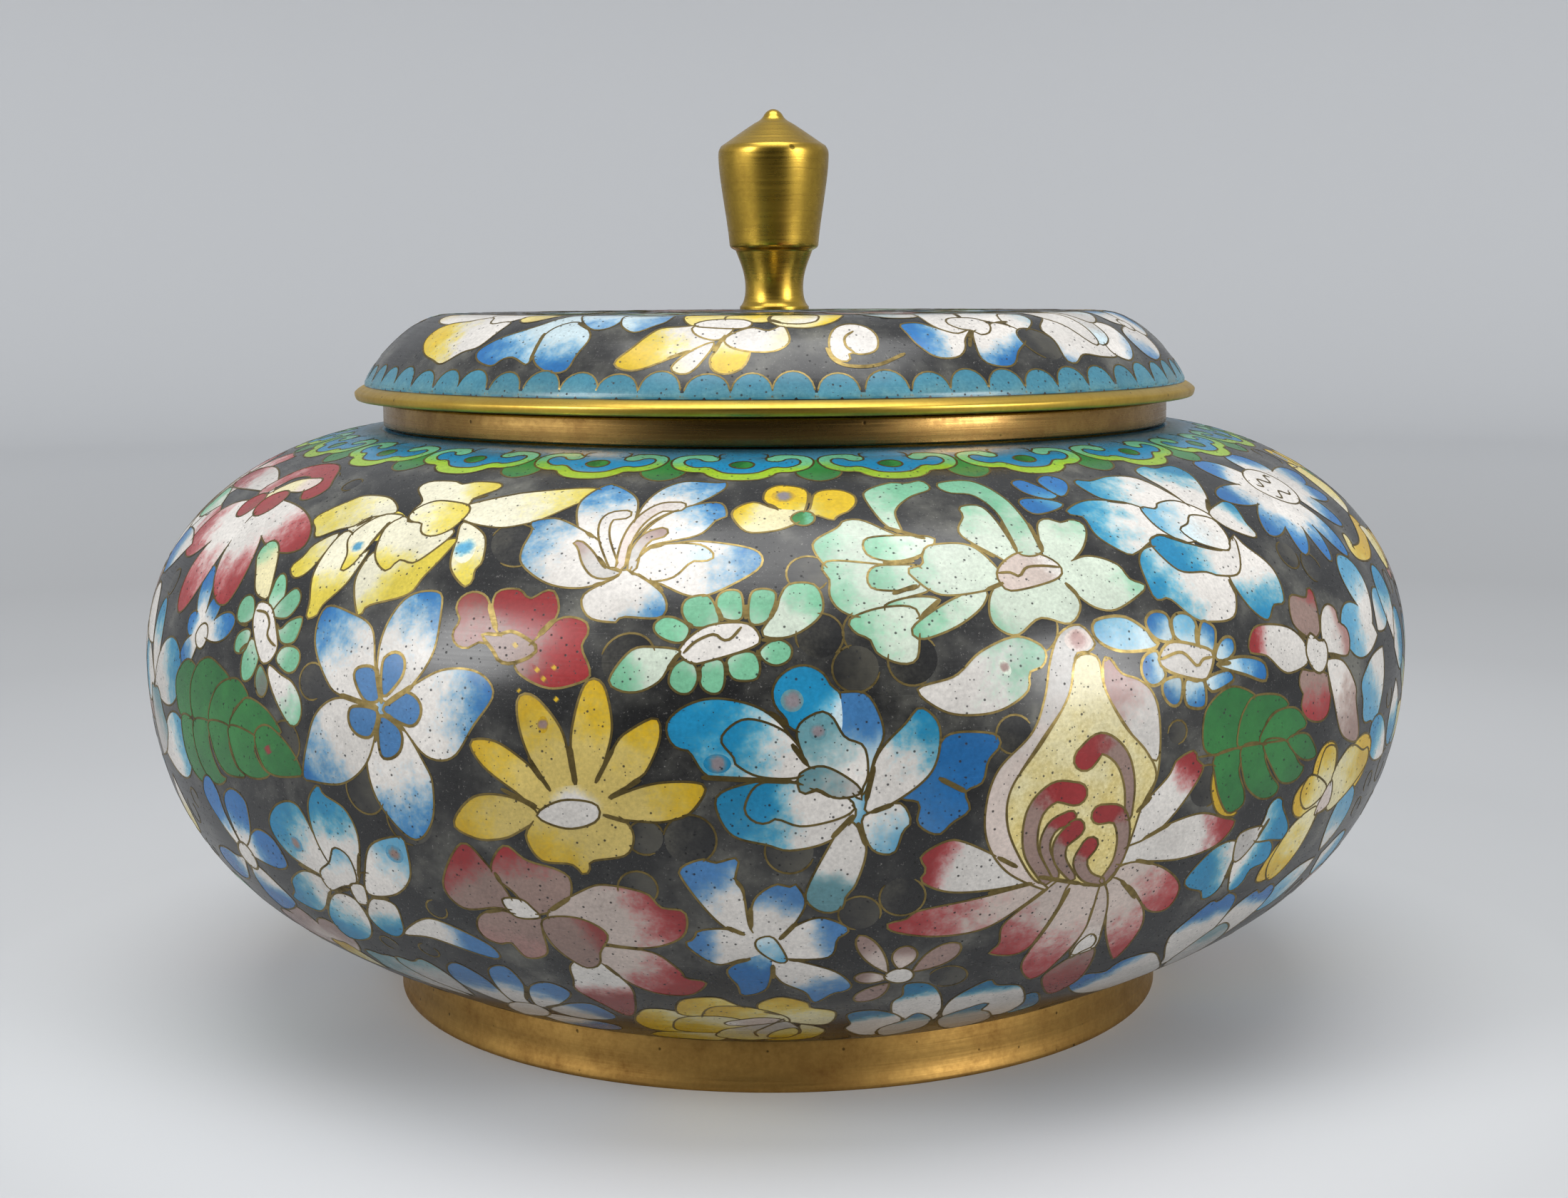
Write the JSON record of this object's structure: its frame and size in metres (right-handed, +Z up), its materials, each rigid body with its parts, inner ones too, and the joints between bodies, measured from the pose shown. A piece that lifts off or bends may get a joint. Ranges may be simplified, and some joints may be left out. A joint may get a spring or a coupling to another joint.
{
  "type": "cloisonne lidded jar",
  "caption": "Low round jar in enamel on copper with a wide belly, brass foot and mouth rings and a lift-off domed lid with a turned knob.",
  "frame": {"origin": "centre of the circle on which the foot ring stands", "axes": "+Z up along the axis of the jar, -Y towards the side that the picture shows, +X to the right of that view"},
  "size_m": [0.165, 0.165, 0.1159],
  "materials": {
    "vessel_enamel": "polished glass enamel, charcoal ground with many coloured flowers between brass wires",
    "lid_enamel": "polished glass enamel, charcoal ground with coloured flowers between brass wires and a turquoise scalloped edge",
    "foot_brass": "satin, dull ochre with dark specks",
    "mouth_brass": "satin, warm and coppery",
    "rim_brass": "polished, bright yellow with fine wear",
    "finial_brass": "turned satin with a few dark spots"
  },
  "bodies": {
    "root": {"vessel": "vessel_enamel", "foot_ring": "foot_brass", "mouth_ring": "mouth_brass", "lid": "lid_enamel", "lid_rim": "rim_brass", "finial": "finial_brass"}
  },
  "joints": []
}
